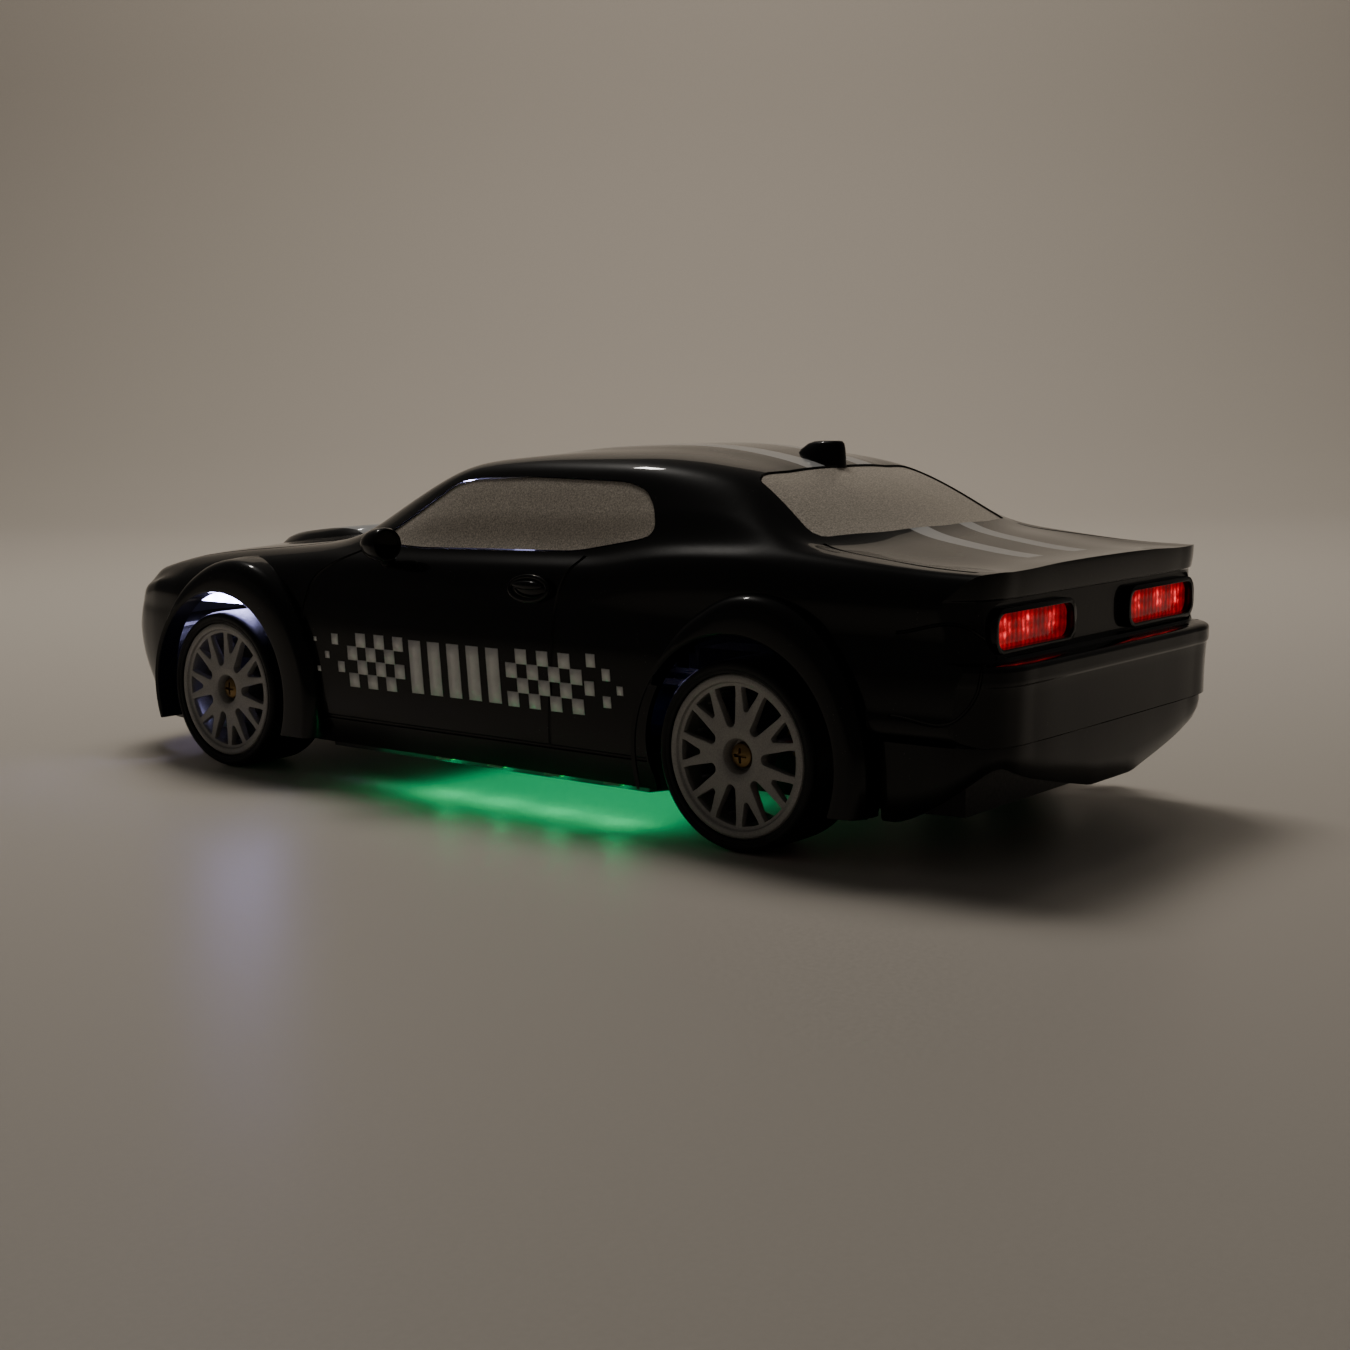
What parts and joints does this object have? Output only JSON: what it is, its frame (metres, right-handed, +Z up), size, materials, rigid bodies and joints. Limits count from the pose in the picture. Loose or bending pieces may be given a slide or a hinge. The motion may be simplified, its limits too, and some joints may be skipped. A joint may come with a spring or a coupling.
{
  "type": "remote control car",
  "caption": "Toy remote control car in gloss black with a flared coupe body shell, spoked wheels, steering front wheels, a geared rear axle and lit lamps and underglow.",
  "frame": {"origin": "on the ground under the middle of the car", "axes": "+Z up, -Y towards the nose, +X to the car's left side"},
  "size_m": [0.126, 0.3, 0.0883],
  "materials": {
    "body_gloss": "gloss clear-coated black",
    "satin_black": "satin moulded black",
    "frosted_glazing": "fine-grained satin grey",
    "rim_grey": "satin grey",
    "tyre_rubber": "smooth rubber",
    "steel": "brushed",
    "brass": "turned",
    "nylon": "natural nylon",
    "red_lens": "clear red, lit",
    "lamp_clear": "clear lens",
    "arch_light": "lit blue-white",
    "underglow": "lit green",
    "board_green": "solder mask",
    "battery_wrap": "shrink film"
  },
  "bodies": {
    "car": {"body_shell": "body_gloss", "bonnet_scoop": "body_gloss", "roof_fin": "body_gloss", "mirror_left": "body_gloss", "mirror_right": "body_gloss", "door_handle_left": "body_gloss", "door_handle_right": "body_gloss", "rear_valance": "body_gloss", "windscreen": "frosted_glazing", "rear_window": "frosted_glazing", "side_window_left": "frosted_glazing", "side_window_right": "frosted_glazing", "tail_lamp_left": "red_lens", "tail_lamp_right": "red_lens", "headlamp_left": "lamp_clear", "headlamp_right": "lamp_clear", "arch_lamp_left": "arch_light", "arch_lamp_right": "arch_light", "underglow_left": "underglow", "underglow_right": "underglow", "tail_lamp_board_left": "board_green", "tail_lamp_board_right": "board_green", "circuit_board": "board_green", "front_grille": "satin_black", "chassis": "satin_black", "battery_hatch": "satin_black", "gearbox_housing": "satin_black", "steering_servo": "satin_black", "front_carrier": "satin_black", "battery_pack": "battery_wrap", "hatch_screw": "steel", "body_screw_1": "steel", "body_screw_2": "steel", "body_screw_3": "steel", "body_screw_4": "steel", "drive_motor": "steel", "idler_pin": "steel", "rear_bearing_left": "brass", "rear_bearing_right": "brass"},
    "rear_axle_set": {"rear_axle": "steel", "axle_gear": "nylon", "rear_tyre_left": "tyre_rubber", "rear_tyre_right": "tyre_rubber", "rear_rim_left": "rim_grey", "rear_rim_right": "rim_grey", "rear_hub_screw_left": "brass", "rear_hub_screw_right": "brass"},
    "idler": {"idler_gear": "nylon"},
    "motor_rotor": {"motor_pinion": "brass"},
    "left_knuckle": {"knuckle_left": "satin_black"},
    "right_knuckle": {"knuckle_right": "satin_black"},
    "front_left_wheel": {"front_tyre_left": "tyre_rubber", "front_rim_left": "rim_grey", "front_hub_screw_left": "brass"},
    "front_right_wheel": {"front_tyre_right": "tyre_rubber", "front_rim_right": "rim_grey", "front_hub_screw_right": "brass"},
    "horn": {"servo_horn": "nylon"},
    "track_rod": {"tie_rod": "satin_black"},
    "switch_slider": {"power_switch": "satin_black"}
  },
  "joints": [
    {"name": "rear_axle_spin", "type": "hinge", "parent": "car", "child": "rear_axle_set", "pos_m": [0, 0.0875, 0.0213], "axis": [1, 0, 0], "continuous": true},
    {"name": "idler_spin", "type": "hinge", "parent": "car", "child": "idler", "pos_m": [0.0147, 0.0737, 0.0254], "axis": [1, 0, 0], "continuous": true},
    {"name": "motor_spin", "type": "hinge", "parent": "car", "child": "motor_rotor", "pos_m": [0.012, 0.0595, 0.023], "axis": [1, 0, 0], "continuous": true},
    {"name": "steer_left", "type": "hinge", "parent": "car", "child": "left_knuckle", "pos_m": [0.046, -0.0875, 0.0213], "axis": [0, 0, 1], "range_deg": [-20, 20]},
    {"name": "steer_right", "type": "hinge", "parent": "car", "child": "right_knuckle", "pos_m": [-0.046, -0.0875, 0.0213], "axis": [0, 0, 1], "range_deg": [-20, 20]},
    {"name": "front_left_spin", "type": "hinge", "parent": "left_knuckle", "child": "front_left_wheel", "pos_m": [0.0495, -0.0875, 0.0213], "axis": [1, 0, 0], "continuous": true},
    {"name": "front_right_spin", "type": "hinge", "parent": "right_knuckle", "child": "front_right_wheel", "pos_m": [-0.0495, -0.0875, 0.0213], "axis": [1, 0, 0], "continuous": true},
    {"name": "horn_turn", "type": "hinge", "parent": "car", "child": "horn", "pos_m": [0, -0.092, 0.022], "axis": [0, 0, 1], "range_deg": [-14, 14]},
    {"name": "track_rod_slide", "type": "slide", "parent": "car", "child": "track_rod", "axis": [1, 0, 0], "range_m": [-0.0032, 0.0032]},
    {"name": "power_switch_slide", "type": "slide", "parent": "car", "child": "switch_slider", "axis": [0, 1, 0], "range_m": [0, 0.004]}
  ],
  "couplings": [
    {"joint": "idler_spin", "follows": "rear_axle_spin", "ratio": -2},
    {"joint": "motor_spin", "follows": "rear_axle_spin", "ratio": 5.2},
    {"joint": "steer_right", "follows": "steer_left", "ratio": 1},
    {"joint": "horn_turn", "follows": "steer_left", "ratio": 0.66667},
    {"joint": "track_rod_slide", "follows": "steer_left", "m_per_rad": -0.009}
  ]
}
